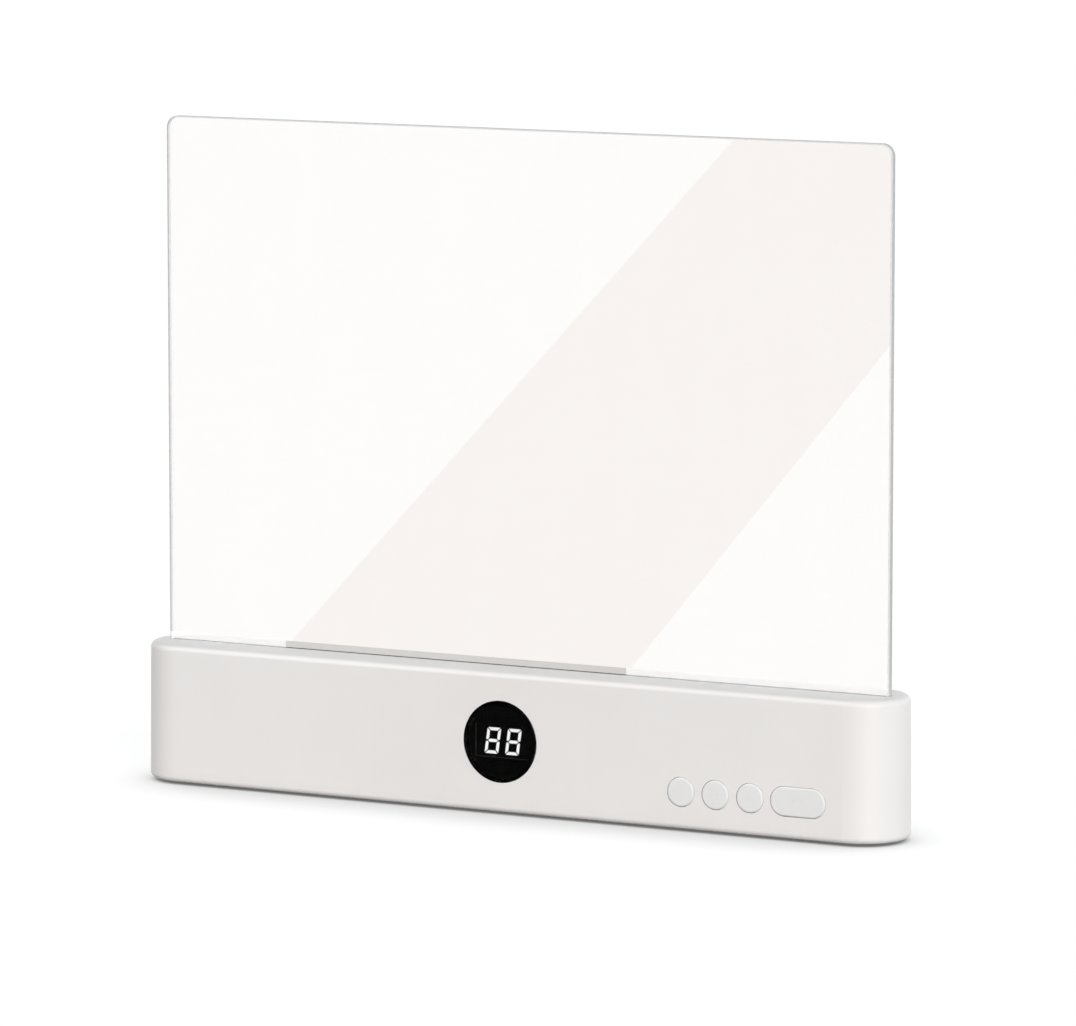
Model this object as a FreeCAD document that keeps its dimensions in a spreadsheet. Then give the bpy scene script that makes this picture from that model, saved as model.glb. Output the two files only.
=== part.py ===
"""Edge-lit acrylic note board on a plastic base with a two-digit display and four buttons.

Frame: +X runs to the right along the base, the front faces -Y, +Z is up.
The origin is on the table, under the middle of the base. Lengths are in millimetres.
"""
import FreeCAD, Part
import math
import os

import Sketcher
from FreeCAD import Placement, Rotation, Vector

doc = FreeCAD.newDocument("NoteBoard")

# ---------------------------------------------------------------- driving dimensions

DIMENSIONS = {
    # base: a moulded shell with a little draft, open below
    "base_length": 250.0, "base_depth": 28.0, "base_height": 41.4, "foot_height": 0.8,
    "wall": 2.6, "roof": 2.4, "draft_angle": 0.45, "top_round": 1.9, "bottom_round": 1.7,
    # bottom cover and the rubber feet stuck into it
    "cover_gap": 0.2, "cover_thickness": 2.0, "cover_recess": 0.3,
    "foot_diameter": 8.0, "foot_thickness": 2.0, "foot_x": 98.0, "foot_y": 6.6,
    # clear sheet
    "panel_width": 239.3, "panel_visible": 157.65, "panel_insert": 15.8, "panel_thickness": 2.5,
    "panel_corner": 3.6, "panel_foot_corner": 1.2, "panel_gap": 0.3, "panel_bevel": 0.4,
    "liner_thickness": 0.2, "liner_inset": 0.1,
    # holder under the slot, with the strip of LEDs below it
    "holder_half_length": 121.2, "holder_width": 7.6, "holder_ledge": 1.2, "ledge_start": 115.5,
    "ear_x": 80.0, "ear_y": 6.4, "ear_width": 6.0, "ear_thickness": 2.0, "ear_drop": 4.0,
    "led_board_length": 231.0, "led_board_width": 6.4, "led_board_thickness": 1.0,
    "led_length": 3.0, "led_width": 1.6, "led_height": 0.8, "led_pitch": 9.6,
    # round display window and the module behind it
    "window_diameter": 24.2, "window_x": 0.4, "window_z": 21.7, "window_face": 13.8,
    "window_thickness": 1.5, "window_ledge": 1.1, "window_gap": 0.05,
    "mask_face": 12.25, "mask_thickness": 0.9, "mask_gap": 0.1, "mask_clearance": 0.15,
    "module_width": 17.6, "module_height": 9.6, "module_face": 11.65,
    "digit_height": 7.75, "digit_width": 4.5, "digit_pitch": 6.8, "digit_slant": 8.0,
    "digit_drop": 0.1, "digit_corner": 0.5, "segment_width": 0.88, "segment_gap": 0.34,
    "segment_depth": 0.4, "segment_proud": 0.05,
    "pin_diameter": 0.5, "pin_pitch": 2.54, "pin_rows": 7.6, "pin_stub": 0.5,
    # buttons
    "button_diameter": 8.6, "button_z": 11.7, "first_button_x": 59.7, "button_pitch": 11.1,
    "power_x": 97.2, "power_length": 17.5, "button_gap": 0.1, "button_face": 14.25,
    "button_round": 0.6, "flange_lip": 0.75, "flange_thickness": 0.9, "flange_gap": 0.2,
    "mark_stroke": 0.32, "mark_depth": 0.12, "mark_length": 1.8, "mark_ring": 0.85,
    "power_ring": 1.45, "power_bar": 1.9, "power_opening": 1.5,
    # switches
    "switch_size": 6.0, "switch_height": 3.5, "plunger_diameter": 3.4, "plunger_gap": 0.05,
    "plunger_bore": 1.3, "plunger_length": 1.4,
    # control board, standing behind the front wall
    "board_left": -21.0, "board_right": 108.5, "board_low": 4.8, "board_high": 27.0,
    "board_front": 6.0, "board_thickness": 1.2, "pillar_diameter": 4.4, "board_screw": 2.0,
    "board_screw_length": 5.2, "pilot_depth": 5.0,
    # power board, lying behind the rear wall with the USB-C receptacle
    "power_board_left": 47.0, "power_board_right": 77.0, "power_board_front": -3.2,
    "power_board_rear": 11.2, "power_board_z": 9.0, "power_post_y": -0.6,
    "usb_x": 62.0, "usb_width": 8.94, "usb_height": 3.26, "usb_length": 7.35, "usb_wall": 0.3,
    "usb_mouth": 13.6, "usb_gap": 0.3, "usb_back": 0.9, "tongue_width": 6.7, "tongue_height": 0.7,
    "tongue_length": 5.0,
    # rechargeable cell on the rear wall
    "cell_left": -95.0, "cell_length": 62.0, "cell_height": 24.0, "cell_thickness": 5.8,
    "cell_low": 5.0, "cell_round": 1.4, "pad_thickness": 0.8,
    # screws and bosses
    "boss_diameter": 5.8, "cover_screw": 2.4, "cover_screw_length": 8.0, "screw_gap": 0.1,
    "cover_head": 3.8, "cover_head_height": 1.0, "small_head": 3.6, "small_head_height": 1.2,
    "holder_screw": 2.0, "holder_screw_length": 5.2, "lead_diameter": 1.0,
}

sheet = doc.addObject("Spreadsheet::Sheet", "Sizes")
for row, (alias, number) in enumerate(DIMENSIONS.items(), start=1):
    sheet.set("A%d" % row, alias)
    sheet.set("B%d" % row, str(number))
    sheet.setAlias("B%d" % row, alias)
doc.recompute()


class Size:
    """A length that carries both its number and the sheet expression that it comes from."""

    def __init__(self, number, text):
        self.number = number
        self.text = text

    @staticmethod
    def of(value):
        return value if isinstance(value, Size) else Size(float(value), "(%s)" % float(value))

    def __add__(self, other):
        other = Size.of(other)
        return Size(self.number + other.number, "(%s + %s)" % (self.text, other.text))

    def __sub__(self, other):
        other = Size.of(other)
        return Size(self.number - other.number, "(%s - %s)" % (self.text, other.text))

    def __mul__(self, factor):
        return Size(self.number * factor, "(%s * %s)" % (self.text, float(factor)))

    def __truediv__(self, factor):
        return Size(self.number / factor, "(%s / %s)" % (self.text, float(factor)))

    def __neg__(self):
        return self * -1

    def __radd__(self, other):
        return Size.of(other) + self

    def __rsub__(self, other):
        return Size.of(other) - self

    __rmul__ = __mul__


class Dimensions:
    """Attribute access to the sheet: dims.wall is the Size of the cell with alias wall."""

    def __getattr__(self, alias):
        return Size(float(sheet.get(alias)), "Sizes." + alias)


dims = Dimensions()
UP = Rotation()
ALONG_REAR = Rotation(Vector(1, 0, 0), -90)
subparts = []


def bind(item, prop, value):
    """Set a property of an object to a Size, through an expression."""
    item.setExpression(prop, Size.of(value).text)


def place(item, x=0, y=0, z=0, turn=UP):
    item.Placement = Placement(Vector(0, 0, 0), turn)
    for axis, value in zip("xyz", (x, y, z)):
        bind(item, "Placement.Base." + axis, value)
    return item


def keep(item, label):
    """Register a finished sub-part under the name it is exported by."""
    item.Label = label
    subparts.append(item)
    return item


# ---------------------------------------------------------------- Part primitives

def block(name, low, high):
    """A box between two corners, each a triple of Sizes or numbers."""
    solid = doc.addObject("Part::Box", name)
    for prop, first, last in zip(("Length", "Width", "Height"), low, high):
        bind(solid, prop, Size.of(last) - first)
    return place(solid, *low)


def rod(name, diameter, length, x, y, z, turn=UP):
    solid = doc.addObject("Part::Cylinder", name)
    bind(solid, "Radius", Size.of(diameter) / 2)
    bind(solid, "Height", length)
    return place(solid, x, y, z, turn)


def fuse(name, solids):
    joined = doc.addObject("Part::MultiFuse", name)
    joined.Shapes = solids
    return joined


def cut(name, base, tool):
    difference = doc.addObject("Part::Cut", name)
    difference.Base = base
    difference.Tool = tool
    return difference


def group(name, solids):
    """Loose pieces of one kind that share a node."""
    together = doc.addObject("Part::Compound", name)
    together.Links = solids
    return together


# ---------------------------------------------------------------- PartDesign bodies

def new_body(name):
    return doc.addObject("PartDesign::Body", name)


def sketch_on(body, name, role, offset):
    """A sketch on an origin plane of its own body, moved along the plane's normal."""
    sketch = body.newObject("Sketcher::SketchObject", name)
    plane = next(item for item in body.Origin.OriginFeatures if item.Role == role)
    sketch.AttachmentSupport = [(plane, "")]
    sketch.MapMode = "FlatFace"
    bind(sketch, "AttachmentOffset.Base.z", offset)
    return sketch


def dimension(sketch, kind, *where_and_size):
    """Add one dimension and bind it to its Size."""
    *where, size = where_and_size
    size = Size.of(size)
    index = sketch.addConstraint(Sketcher.Constraint(kind, *where, size.number))
    bind(sketch, "Constraints[%d]" % index, size)


def fix_point(sketch, curve, point, x, y):
    dimension(sketch, "DistanceX", -1, 1, curve, point, x)
    dimension(sketch, "DistanceY", -1, 1, curve, point, y)


def draw_circle(sketch, diameter, x, y):
    centre = Vector(Size.of(x).number, Size.of(y).number, 0)
    circle = sketch.addGeometry(Part.Circle(centre, Vector(0, 0, 1), Size.of(diameter).number / 2))
    dimension(sketch, "Diameter", circle, diameter)
    fix_point(sketch, circle, 3, x, y)


def draw_rectangle(sketch, left, low, right, high):
    x0, y0, x1, y1 = [Size.of(value).number for value in (left, low, right, high)]
    corners = [Vector(x0, y0, 0), Vector(x1, y0, 0), Vector(x1, y1, 0), Vector(x0, y1, 0)]
    lines = [
        sketch.addGeometry(Part.LineSegment(start, end))
        for start, end in zip(corners, corners[1:] + corners[:1])
    ]
    for line, following in zip(lines, lines[1:] + lines[:1]):
        sketch.addConstraint(Sketcher.Constraint("Coincident", line, 2, following, 1))
    for line, kind in zip(lines, ("Horizontal", "Vertical") * 2):
        sketch.addConstraint(Sketcher.Constraint(kind, line))
    fix_point(sketch, lines[0], 1, left, low)
    fix_point(sketch, lines[2], 1, right, high)


def draw_stadium(sketch, length, height, x, y):
    """Two half circles joined by straight lines, centred on (x, y)."""
    length, height, x, y = [Size.of(value) for value in (length, height, x, y)]
    reach = (length - height) / 2
    radius = height.number / 2
    right = Vector(x.number + reach.number, y.number, 0)
    left = Vector(x.number - reach.number, y.number, 0)
    drop = Vector(0, radius, 0)
    axis = Vector(0, 0, 1)
    low = sketch.addGeometry(Part.LineSegment(left - drop, right - drop))
    right_arc = sketch.addGeometry(
        Part.ArcOfCircle(Part.Circle(right, axis, radius), -math.pi / 2, math.pi / 2))
    high = sketch.addGeometry(Part.LineSegment(right + drop, left + drop))
    left_arc = sketch.addGeometry(
        Part.ArcOfCircle(Part.Circle(left, axis, radius), math.pi / 2, 1.5 * math.pi))
    order = [low, right_arc, high, left_arc]
    for curve, following in zip(order, order[1:] + order[:1]):
        sketch.addConstraint(Sketcher.Constraint("Tangent", curve, 2, following, 1))
    sketch.addConstraint(Sketcher.Constraint("Equal", right_arc, left_arc))
    sketch.addConstraint(Sketcher.Constraint("Horizontal", low))
    dimension(sketch, "Diameter", right_arc, height)
    fix_point(sketch, right_arc, 3, x + reach, y)
    dimension(sketch, "DistanceX", -1, 1, left_arc, 3, x - reach)


def pad(body, sketch, length, taper=None, midplane=False):
    feature = body.newObject("PartDesign::Pad", sketch.Name + "Pad")
    feature.Profile = sketch
    bind(feature, "Length", length)
    feature.Midplane = midplane
    if taper is not None:
        bind(feature, "TaperAngle", taper)
    body.Tip = feature
    return feature


def pocket(body, sketch, length, along_normal=False):
    """Cut against the sketch's normal, or along it."""
    feature = body.newObject("PartDesign::Pocket", sketch.Name + "Pocket")
    feature.Profile = sketch
    feature.Reversed = along_normal
    bind(feature, "Length", length)
    body.Tip = feature
    return feature


def round_edges(body, radius, chosen):
    """Fillet the edges of the tip for which chosen(edge) is true."""
    doc.recompute()
    base = body.Tip
    names = ["Edge%d" % (i + 1) for i, edge in enumerate(base.Shape.Edges) if chosen(edge)]
    feature = body.newObject("PartDesign::Fillet", body.Name + "Round%d" % len(body.Group))
    feature.Base = (base, names)
    bind(feature, "Radius", radius)
    body.Tip = feature
    return feature


def level_at(axis, value):
    """A test that is true for edges lying wholly at one coordinate."""
    value = Size.of(value).number

    def test(edge):
        box = edge.BoundBox
        low, high = getattr(box, axis + "Min"), getattr(box, axis + "Max")
        return abs(low - value) < 0.01 and abs(high - value) < 0.01

    return test


# ---------------------------------------------------------------- places worked out from the sheet

inside_length = dims.base_length - 2 * dims.wall
inside_depth = dims.base_depth - 2 * dims.wall
inside_front = -inside_depth / 2
inside_rear = inside_depth / 2
base_top = dims.foot_height + dims.base_height
roof_z = base_top - dims.roof
cover_low = dims.foot_height + dims.cover_recess
cover_high = cover_low + dims.cover_thickness
slot_length = dims.panel_width + 2 * dims.panel_gap
slot_width = dims.panel_thickness + 2 * dims.panel_gap
panel_low = base_top - dims.panel_insert
holder_low = panel_low - dims.holder_ledge
ear_low = roof_z - dims.ear_drop - dims.ear_thickness
led_board_low = holder_low - dims.led_board_thickness
board_rear = -dims.board_front + dims.board_thickness
flange_front = inside_front + dims.flange_gap
flange_rear = flange_front + dims.flange_thickness
power_board_high = dims.power_board_z + dims.board_thickness
usb_z = power_board_high + dims.usb_height / 2
cell_rear = inside_rear - dims.pad_thickness
cell_front = cell_rear - dims.cell_thickness
cell_right = dims.cell_left + dims.cell_length
window_opening = dims.window_diameter - 2 * dims.window_ledge

BUTTONS = {
    "left": dims.first_button_x,
    "middle": dims.first_button_x + dims.button_pitch,
    "right": dims.first_button_x + 2 * dims.button_pitch,
}
OVERLAP = 0.5           # how far a boss runs into the wall that it grows from
BEYOND = 1.5            # how far a cutting tool runs past the face that it opens
COVER_BOSSES = [(113.8, 8.2), (113.8, -8.2), (-113.8, 8.2), (-113.8, -8.2), (30.0, 8.7), (-35.0, -8.7)]
BOARD_PILLARS = [(-17.5, 9.0), (42.0, 9.0), (71.1, 22.0), (104.5, 21.5)]
POWER_POSTS = [50.0, 74.0]
HOOKS = [-100.0, -50.0, 0.0, 50.0, 100.0]
LED_COUNT = 24
CORNERS = [(1, 1), (1, -1), (-1, 1), (-1, -1)]
FEET = {"front_left": (-1, -1), "front_right": (1, -1), "rear_left": (-1, 1), "rear_right": (1, 1)}


# ---------------------------------------------------------------- housing and cover

def housing():
    body = new_body("housing")
    outline = sketch_on(body, "HousingOutline", "XY_Plane", dims.foot_height)
    draw_stadium(outline, dims.base_length, dims.base_depth, 0, 0)
    pad(body, outline, dims.base_height, taper=-dims.draft_angle)
    round_edges(body, dims.top_round, level_at("Z", base_top))
    round_edges(body, dims.bottom_round, level_at("Z", dims.foot_height))

    cavity = sketch_on(body, "HousingCavity", "XY_Plane", dims.foot_height)
    draw_stadium(cavity, inside_length, inside_depth, 0, 0)
    pocket(body, cavity, dims.base_height - dims.roof, along_normal=True)

    bosses = sketch_on(body, "CoverBosses", "XY_Plane", cover_high)
    for x, y in COVER_BOSSES:
        draw_circle(bosses, dims.boss_diameter, x, y)
    pad(body, bosses, roof_z - cover_high + OVERLAP)
    ear_bosses = sketch_on(body, "HolderBosses", "XY_Plane", ear_low + dims.ear_thickness)
    for side_x, side_y in CORNERS:
        draw_circle(ear_bosses, dims.pillar_diameter, dims.ear_x * side_x, dims.ear_y * side_y)
    pad(body, ear_bosses, dims.ear_drop + OVERLAP)
    pillars = sketch_on(body, "BoardPillars", "XZ_Plane", dims.board_front)
    for x, z in BOARD_PILLARS:
        draw_circle(pillars, dims.pillar_diameter, x, z)
    pad(body, pillars, -inside_front - dims.board_front + OVERLAP)

    slot = sketch_on(body, "PanelSlot", "XY_Plane", base_top + 1)
    draw_rectangle(slot, -slot_length / 2, -slot_width / 2, slot_length / 2, slot_width / 2)
    pocket(body, slot, dims.roof + BEYOND)

    outside = dims.base_depth / 2 + 1
    seat = sketch_on(body, "WindowSeat", "XZ_Plane", outside)
    draw_circle(seat, dims.window_diameter + 2 * dims.window_gap, dims.window_x, dims.window_z)
    pocket(body, seat, outside - dims.window_face + dims.window_thickness)
    opening = sketch_on(body, "WindowOpening", "XZ_Plane", outside)
    draw_circle(opening, window_opening, dims.window_x, dims.window_z)
    pocket(body, opening, dims.wall + BEYOND)

    holes = sketch_on(body, "ButtonHoles", "XZ_Plane", outside)
    clear = 2 * dims.button_gap
    for x in BUTTONS.values():
        draw_circle(holes, dims.button_diameter + clear, x, dims.button_z)
    draw_stadium(holes, dims.power_length + clear, dims.button_diameter + clear,
                 dims.power_x, dims.button_z)
    pocket(body, holes, dims.wall + BEYOND)

    port = sketch_on(body, "UsbOpening", "XZ_Plane", -outside)
    draw_stadium(port, dims.usb_width + 2 * dims.usb_gap, dims.usb_height + 2 * dims.usb_gap,
                 dims.usb_x, usb_z)
    pocket(body, port, dims.wall + BEYOND, along_normal=True)

    cover_pilots = sketch_on(body, "CoverPilots", "XY_Plane", cover_high)
    for x, y in COVER_BOSSES:
        draw_circle(cover_pilots, dims.cover_screw + dims.screw_gap, x, y)
    pocket(body, cover_pilots, dims.cover_screw_length, along_normal=True)
    ear_pilots = sketch_on(body, "HolderPilots", "XY_Plane", ear_low + dims.ear_thickness)
    for side_x, side_y in CORNERS:
        draw_circle(ear_pilots, dims.holder_screw + dims.screw_gap,
                    dims.ear_x * side_x, dims.ear_y * side_y)
    pocket(body, ear_pilots, dims.ear_drop - 0.4, along_normal=True)
    board_pilots = sketch_on(body, "BoardPilots", "XZ_Plane", dims.board_front)
    for x, z in BOARD_PILLARS:
        draw_circle(board_pilots, dims.board_screw + dims.screw_gap, x, z)
    pocket(body, board_pilots, dims.pilot_depth, along_normal=True)
    keep(body, "housing")


def bottom_cover():
    """Inset plate with counterbored screw holes, pockets for the feet and two posts."""
    body = new_body("bottom_cover")
    outline = sketch_on(body, "CoverOutline", "XY_Plane", cover_low)
    draw_stadium(outline, inside_length - 2 * dims.cover_gap, inside_depth - 2 * dims.cover_gap, 0, 0)
    pad(body, outline, dims.cover_thickness)
    posts = sketch_on(body, "PowerPosts", "XY_Plane", cover_high)
    for x in POWER_POSTS:
        draw_circle(posts, dims.pillar_diameter, x, dims.power_post_y)
    pad(body, posts, dims.power_board_z - cover_high)

    holes = sketch_on(body, "CoverHoles", "XY_Plane", cover_low)
    heads = sketch_on(body, "CoverCounterbores", "XY_Plane", cover_low)
    for x, y in COVER_BOSSES:
        draw_circle(holes, dims.cover_screw + 2 * dims.screw_gap, x, y)
        draw_circle(heads, dims.cover_head + 2 * dims.screw_gap, x, y)
    pocket(body, holes, dims.cover_thickness, along_normal=True)
    pocket(body, heads, dims.cover_head_height + 0.1, along_normal=True)
    seats = sketch_on(body, "FootSeats", "XY_Plane", cover_low)
    for side_x, side_y in CORNERS:
        draw_circle(seats, dims.foot_diameter + 2 * dims.screw_gap,
                    dims.foot_x * side_x, dims.foot_y * side_y)
    pocket(body, seats, dims.foot_thickness - cover_low, along_normal=True)
    post_pilots = sketch_on(body, "PowerPilots", "XY_Plane", dims.power_board_z)
    for x in POWER_POSTS:
        draw_circle(post_pilots, dims.board_screw + dims.screw_gap, x, dims.power_post_y)
    pocket(body, post_pilots, dims.pilot_depth)
    keep(body, "bottom_cover")


def feet():
    for name, (side_x, side_y) in FEET.items():
        body = new_body("foot_" + name)
        outline = sketch_on(body, "FootOutline_" + name, "XY_Plane", 0)
        draw_circle(outline, dims.foot_diameter, 0, 0)
        pad(body, outline, dims.foot_thickness)
        round_edges(body, 0.35, level_at("Z", 0))
        place(body, dims.foot_x * side_x, dims.foot_y * side_y, 0)
        keep(body, "foot_" + name)


def screw(name, shank, length, head, head_height, x, y, z, turn):
    """A pan-head screw: its head sits at (x, y, z) and the shank runs on along the turned +Z."""
    body = new_body(name)
    top = sketch_on(body, name + "Head", "XY_Plane", -head_height)
    draw_circle(top, head, 0, 0)
    pad(body, top, head_height)
    round_edges(body, head_height * 0.45, level_at("Z", -head_height))
    stem = sketch_on(body, name + "Shank", "XY_Plane", 0)
    draw_circle(stem, shank, 0, 0)
    pad(body, stem, length)
    return place(body, x, y, z, turn)


def screws():
    seat = cover_low + dims.cover_head_height + 0.1
    cover = [
        screw("CoverScrew%d" % i, dims.cover_screw, dims.cover_screw_length, dims.cover_head,
              dims.cover_head_height, x, y, seat, UP)
        for i, (x, y) in enumerate(COVER_BOSSES)
    ]
    keep(group("CoverScrews", cover), "cover_screws")
    holder = [
        screw("HolderScrew%d" % i, dims.holder_screw, dims.holder_screw_length, dims.small_head,
              dims.small_head_height, dims.ear_x * side_x, dims.ear_y * side_y, ear_low, UP)
        for i, (side_x, side_y) in enumerate(CORNERS)
    ]
    keep(group("HolderScrews", holder), "holder_screws")
    to_front = Rotation(Vector(1, 0, 0), 90)
    board = [
        screw("BoardScrew%d" % i, dims.board_screw, dims.board_screw_length, dims.small_head,
              dims.small_head_height, x, board_rear, z, to_front)
        for i, (x, z) in enumerate(BOARD_PILLARS)
    ]
    keep(group("BoardScrews", board), "control_board_screws")
    down = Rotation(Vector(1, 0, 0), 180)
    power = [
        screw("PowerScrew%d" % i, dims.board_screw, dims.board_screw_length, dims.small_head,
              dims.small_head_height, x, dims.power_post_y, power_board_high, down)
        for i, x in enumerate(POWER_POSTS)
    ]
    keep(group("PowerScrews", power), "power_board_screws")


# ---------------------------------------------------------------- panel, holder and LEDs

def acrylic_panel():
    body = new_body("acrylic_panel")
    outline = sketch_on(body, "PanelOutline", "XZ_Plane", 0)
    panel_top = base_top + dims.panel_visible
    draw_rectangle(outline, -dims.panel_width / 2, panel_low, dims.panel_width / 2, panel_top)
    pad(body, outline, dims.panel_thickness, midplane=True)
    half = dims.panel_width.number / 2

    def corner_at(height):
        def test(edge):
            centre = edge.CenterOfMass
            at_side = abs(abs(centre.x) - half) < 0.01
            return at_side and abs(centre.z - height.number) < 0.01
        return test

    round_edges(body, dims.panel_corner, corner_at(panel_top))
    round_edges(body, dims.panel_foot_corner, corner_at(panel_low))
    doc.recompute()
    rounded = body.Tip
    faces = [level_at("Y", dims.panel_thickness / 2), level_at("Y", -dims.panel_thickness / 2)]
    rims = ["Edge%d" % (i + 1) for i, edge in enumerate(rounded.Shape.Edges)
            if any(on_face(edge) for on_face in faces)]
    bevel = body.newObject("PartDesign::Chamfer", "PanelBevel")
    bevel.Base = (rounded, rims)
    bind(bevel, "Size", dims.panel_bevel)
    body.Tip = bevel
    keep(body, "acrylic_panel")


def slot_liner():
    """A flocked strip round the slot that keeps the sheet from rattling."""
    low, high = roof_z + dims.liner_inset, base_top - dims.liner_inset
    inner_length = slot_length - 2 * dims.liner_thickness
    inner_width = slot_width - 2 * dims.liner_thickness
    outside = block("LinerOutside", (-slot_length / 2, -slot_width / 2, low),
                    (slot_length / 2, slot_width / 2, high))
    inside = block("LinerInside", (-inner_length / 2, -inner_width / 2, low - 1),
                   (inner_length / 2, inner_width / 2, high + 1))
    keep(cut("SlotLiner", outside, inside), "slot_liner")


def panel_holder():
    """Channel under the roof: the sheet stands on a ledge at each end, over the row of LEDs."""
    half_width = dims.holder_width / 2
    rail = block("HolderRail", (-dims.holder_half_length, -half_width, holder_low),
                 (dims.holder_half_length, half_width, roof_z))
    ears = []
    hooks = []
    for i, side_x in enumerate((1, -1)):
        middle = dims.ear_x * side_x
        reach = dims.ear_y + dims.ear_width / 2
        ears.append(block("HolderEar%d" % i, (middle - dims.ear_width / 2, -reach, ear_low),
                          (middle + dims.ear_width / 2, reach, ear_low + dims.ear_thickness)))
    for i, x in enumerate(HOOKS):
        leg_inner = dims.led_board_width / 2 + dims.cover_gap
        for side, name in ((1, "Rear"), (-1, "Front")):
            near, far = leg_inner * side, (leg_inner + 0.8) * side
            barb = (leg_inner - 0.5) * side
            low, high = (near, far) if side > 0 else (far, near)
            tip_low, tip_high = (barb, far) if side > 0 else (far, barb)
            hooks.append(block("HookLeg%s%d" % (name, i), (x - 2.0, low, led_board_low - 0.8),
                               (x + 2.0, high, holder_low + 1.4)))
            hooks.append(block("HookBarb%s%d" % (name, i), (x - 2.0, tip_low, led_board_low - 0.8),
                               (x + 2.0, tip_high, led_board_low - 0.1)))
    whole = fuse("HolderWhole", [rail] + ears + hooks)
    channel = block("HolderChannel", (-slot_length / 2, -slot_width / 2, panel_low),
                    (slot_length / 2, slot_width / 2, roof_z + 1))
    light_gap = block("HolderLightGap", (-dims.ledge_start, -slot_width / 2, holder_low - 1),
                      (dims.ledge_start, slot_width / 2, panel_low + 1))
    holes = [
        rod("HolderHole%d" % i, dims.holder_screw + 2 * dims.screw_gap, dims.ear_thickness + 2,
            dims.ear_x * side_x, dims.ear_y * side_y, ear_low - 1)
        for i, (side_x, side_y) in enumerate(CORNERS)
    ]
    space = fuse("HolderSpace", [channel, light_gap] + holes)
    keep(cut("PanelHolder", whole, space), "panel_holder")


def led_strip():
    half = dims.led_board_width / 2
    board = block("LedBoard", (-dims.led_board_length / 2, -half, led_board_low),
                  (dims.led_board_length / 2, half, holder_low))
    keep(board, "led_board")
    chips = []
    for i in range(LED_COUNT):
        x = dims.led_pitch * (i - (LED_COUNT - 1) / 2)
        chips.append(block(
            "LedChip%d" % i, (x - dims.led_length / 2, -dims.led_width / 2, holder_low),
            (x + dims.led_length / 2, dims.led_width / 2, holder_low + dims.led_height)))
    keep(group("LedChips", chips), "led_chips")


# ---------------------------------------------------------------- display

def inset(points, distance):
    """Move each side of an anticlockwise convex outline inwards, and return the new corners."""
    sides = []
    for start, end in zip(points, points[1:] + points[:1]):
        length = math.hypot(end[0] - start[0], end[1] - start[1])
        across = ((start[1] - end[1]) / length, (end[0] - start[0]) / length)
        sides.append((across, across[0] * start[0] + across[1] * start[1] + distance))
    corners = []
    for ((a, b), first), ((c, d), second) in zip(sides[-1:] + sides[:-1], sides):
        scale = a * d - b * c
        corners.append(((first * d - b * second) / scale, (a * second - first * c) / scale))
    return corners


def segment_outlines():
    """The seven mitred segments of one upright digit centred on the origin, as lists of (x, z)."""
    gap = dims.segment_gap.number / 2
    thick = dims.segment_width.number + 2 * gap
    x = dims.digit_width.number / 2 + gap
    z = dims.digit_height.number / 2 + gap
    nip = dims.digit_corner.number
    notch = thick / 4
    top = [(-x + nip, z), (-x + nip / 2, z - nip / 2), (-x + thick, z - thick),
           (x - thick, z - thick), (x - nip / 2, z - nip / 2), (x - nip, z)]
    side = [(-x, z - nip), (-x, notch), (-x + thick / 2, 0.0), (-x + thick, thick / 2),
            (-x + thick, z - thick), (-x + nip / 2, z - nip / 2)]
    middle = [(-x + thick / 2, 0.0), (-x + thick, -thick / 2), (x - thick, -thick / 2),
              (x - thick / 2, 0.0), (x - thick, thick / 2), (-x + thick, thick / 2)]

    def flipped(outline, across, up):
        turned = [(across * first, up * second) for first, second in outline]
        return turned if across == up else turned[::-1]

    upright = [top, flipped(top, 1, -1), middle]
    upright += [flipped(side, across, up) for across in (1, -1) for up in (1, -1)]
    return [inset(outline, gap) for outline in upright]


def digit_shape(centre_x, front, depth):
    """Seven slanted segments as separate solids, from the front plane back by depth."""
    lean = math.tan(math.radians(dims.digit_slant.number))
    middle = dims.window_z.number - dims.digit_drop.number
    solids = []
    for outline in segment_outlines():
        points = [
            Vector(centre_x + x + z * lean, front, middle + z)
            for x, z in outline
        ]
        face = Part.Face(Part.makePolygon(points + points[:1]))
        solids.append(face.extrude(Vector(0, depth, 0)))
    return Part.makeCompound(solids)


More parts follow.
